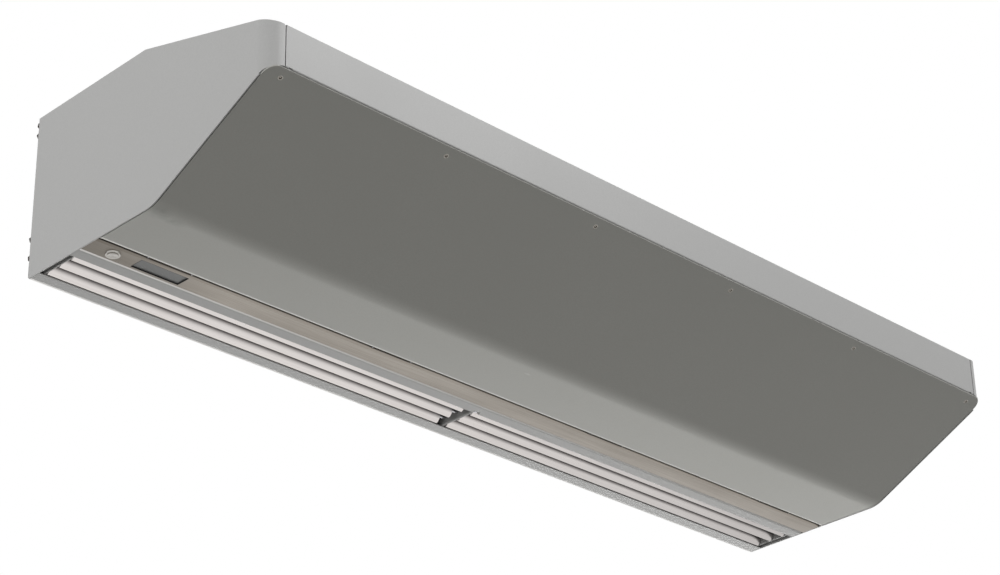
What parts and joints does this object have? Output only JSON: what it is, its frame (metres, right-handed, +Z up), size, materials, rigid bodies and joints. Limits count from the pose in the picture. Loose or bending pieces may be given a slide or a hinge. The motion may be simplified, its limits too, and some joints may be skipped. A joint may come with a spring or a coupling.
{
  "type": "air curtain",
  "caption": "Slim wall-mounted air curtain: wedge-fronted steel cabinet, sloped intake grille on top, vaned outlet slot at the wall side and a hinged underside cover.",
  "frame": {"origin": "centre of the four wall fixing holes, on the back face that goes against the wall", "axes": "+X to the right seen from the front, +Y out of the back towards the wall, +Z up"},
  "size_m": [1.25, 0.428, 0.217],
  "materials": {
    "painted_shell": "satin light grey powder coat",
    "painted_cover": "satin light grey powder coat",
    "stainless_strip": "brushed",
    "vane_aluminium": "satin anodised",
    "galvanised": "galvanised sheet",
    "zinc_fixing": "zinc plated",
    "dark_fixing": "black oxide",
    "chrome_trim": "polished",
    "motor_enamel": "semi-gloss",
    "motor_iron": "laminated core",
    "ground_steel": "ground",
    "black_rubber": "matte",
    "can_aluminium": "drawn can",
    "ivory_plastic": "moulded",
    "black_plastic": "moulded",
    "smoked_window": "smoked acrylic"
  },
  "bodies": {
    "cabinet": {"back_panel": "painted_shell", "top_panel": "painted_shell", "intake_grille": "painted_shell", "left_end_panel": "painted_shell", "right_end_panel": "painted_shell", "front_fascia": "painted_shell", "hinge_leaves": "galvanised", "hinge_pins": "ground_steel", "control_strip": "stainless_strip", "nozzle_front_rail": "painted_shell", "nozzle_divider": "galvanised", "divider_screw": "ground_steel", "left_vane_bracket": "galvanised", "right_vane_bracket": "galvanised", "plenum_wall": "galvanised", "left_scroll": "galvanised", "right_scroll": "galvanised", "left_inlets": "galvanised", "right_inlets": "galvanised", "motor_stator": "motor_iron", "motor_shell": "motor_enamel", "motor_shields": "motor_enamel", "motor_bearings": "ground_steel", "motor_rubbers": "black_rubber", "motor_cradle": "galvanised", "motor_clamps": "zinc_fixing", "run_capacitor": "can_aluminium", "capacitor_strap": "zinc_fixing", "electrical_box": "galvanised", "box_lid": "galvanised", "terminal_block": "ivory_plastic", "motor_relay": "black_plastic", "button_ring": "chrome_trim", "button_nut": "zinc_fixing", "switch_body": "black_plastic", "display_window": "smoked_window", "display_module": "black_plastic", "suspension_nuts": "zinc_fixing", "cabinet_screws": "dark_fixing"},
    "access_cover": {"access_cover": "painted_cover", "cover_screws": "zinc_fixing", "cover_leaves": "galvanised"},
    "fan_rotor": {"motor_shaft": "ground_steel", "motor_rotor": "motor_iron", "left_wheel": "galvanised", "right_wheel": "galvanised", "wheel_set_screws": "dark_fixing"},
    "power_button": {"power_button": "chrome_trim"},
    "left_rear_vane": {"left_rear_vane": "vane_aluminium", "left_rear_pins": "ground_steel"},
    "left_middle_vane": {"left_middle_vane": "vane_aluminium", "left_middle_pins": "ground_steel"},
    "left_front_vane": {"left_front_vane": "vane_aluminium", "left_front_pins": "ground_steel"},
    "right_rear_vane": {"right_rear_vane": "vane_aluminium", "right_rear_pins": "ground_steel"},
    "right_middle_vane": {"right_middle_vane": "vane_aluminium", "right_middle_pins": "ground_steel"},
    "right_front_vane": {"right_front_vane": "vane_aluminium", "right_front_pins": "ground_steel"}
  },
  "joints": [
    {"name": "cover_hinge", "type": "hinge", "parent": "cabinet", "child": "access_cover", "pos_m": [0, -0.1298, -0.1042], "axis": [1, 0, 0], "range_deg": [0, 80]},
    {"name": "fan_spin", "type": "hinge", "parent": "cabinet", "child": "fan_rotor", "pos_m": [0, -0.215, -0.00424], "axis": [1, 0, 0], "continuous": true},
    {"name": "button_press", "type": "slide", "parent": "cabinet", "child": "power_button", "axis": [0, 0, 1], "range_m": [0, 0.002], "stiffness_N_per_m": 900},
    {"name": "left_rear_vane_tilt", "type": "hinge", "parent": "cabinet", "child": "left_rear_vane", "pos_m": [0, -0.02625, -0.096], "axis": [1, 0, 0], "range_deg": [-45, 5]},
    {"name": "left_middle_vane_tilt", "type": "hinge", "parent": "cabinet", "child": "left_middle_vane", "pos_m": [0, -0.04925, -0.096], "axis": [1, 0, 0], "range_deg": [-45, 5]},
    {"name": "left_front_vane_tilt", "type": "hinge", "parent": "cabinet", "child": "left_front_vane", "pos_m": [0, -0.07225, -0.096], "axis": [1, 0, 0], "range_deg": [-45, 5]},
    {"name": "right_rear_vane_tilt", "type": "hinge", "parent": "cabinet", "child": "right_rear_vane", "pos_m": [0, -0.02625, -0.096], "axis": [1, 0, 0], "range_deg": [-45, 5]},
    {"name": "right_middle_vane_tilt", "type": "hinge", "parent": "cabinet", "child": "right_middle_vane", "pos_m": [0, -0.04925, -0.096], "axis": [1, 0, 0], "range_deg": [-45, 5]},
    {"name": "right_front_vane_tilt", "type": "hinge", "parent": "cabinet", "child": "right_front_vane", "pos_m": [0, -0.07225, -0.096], "axis": [1, 0, 0], "range_deg": [-45, 5]}
  ]
}
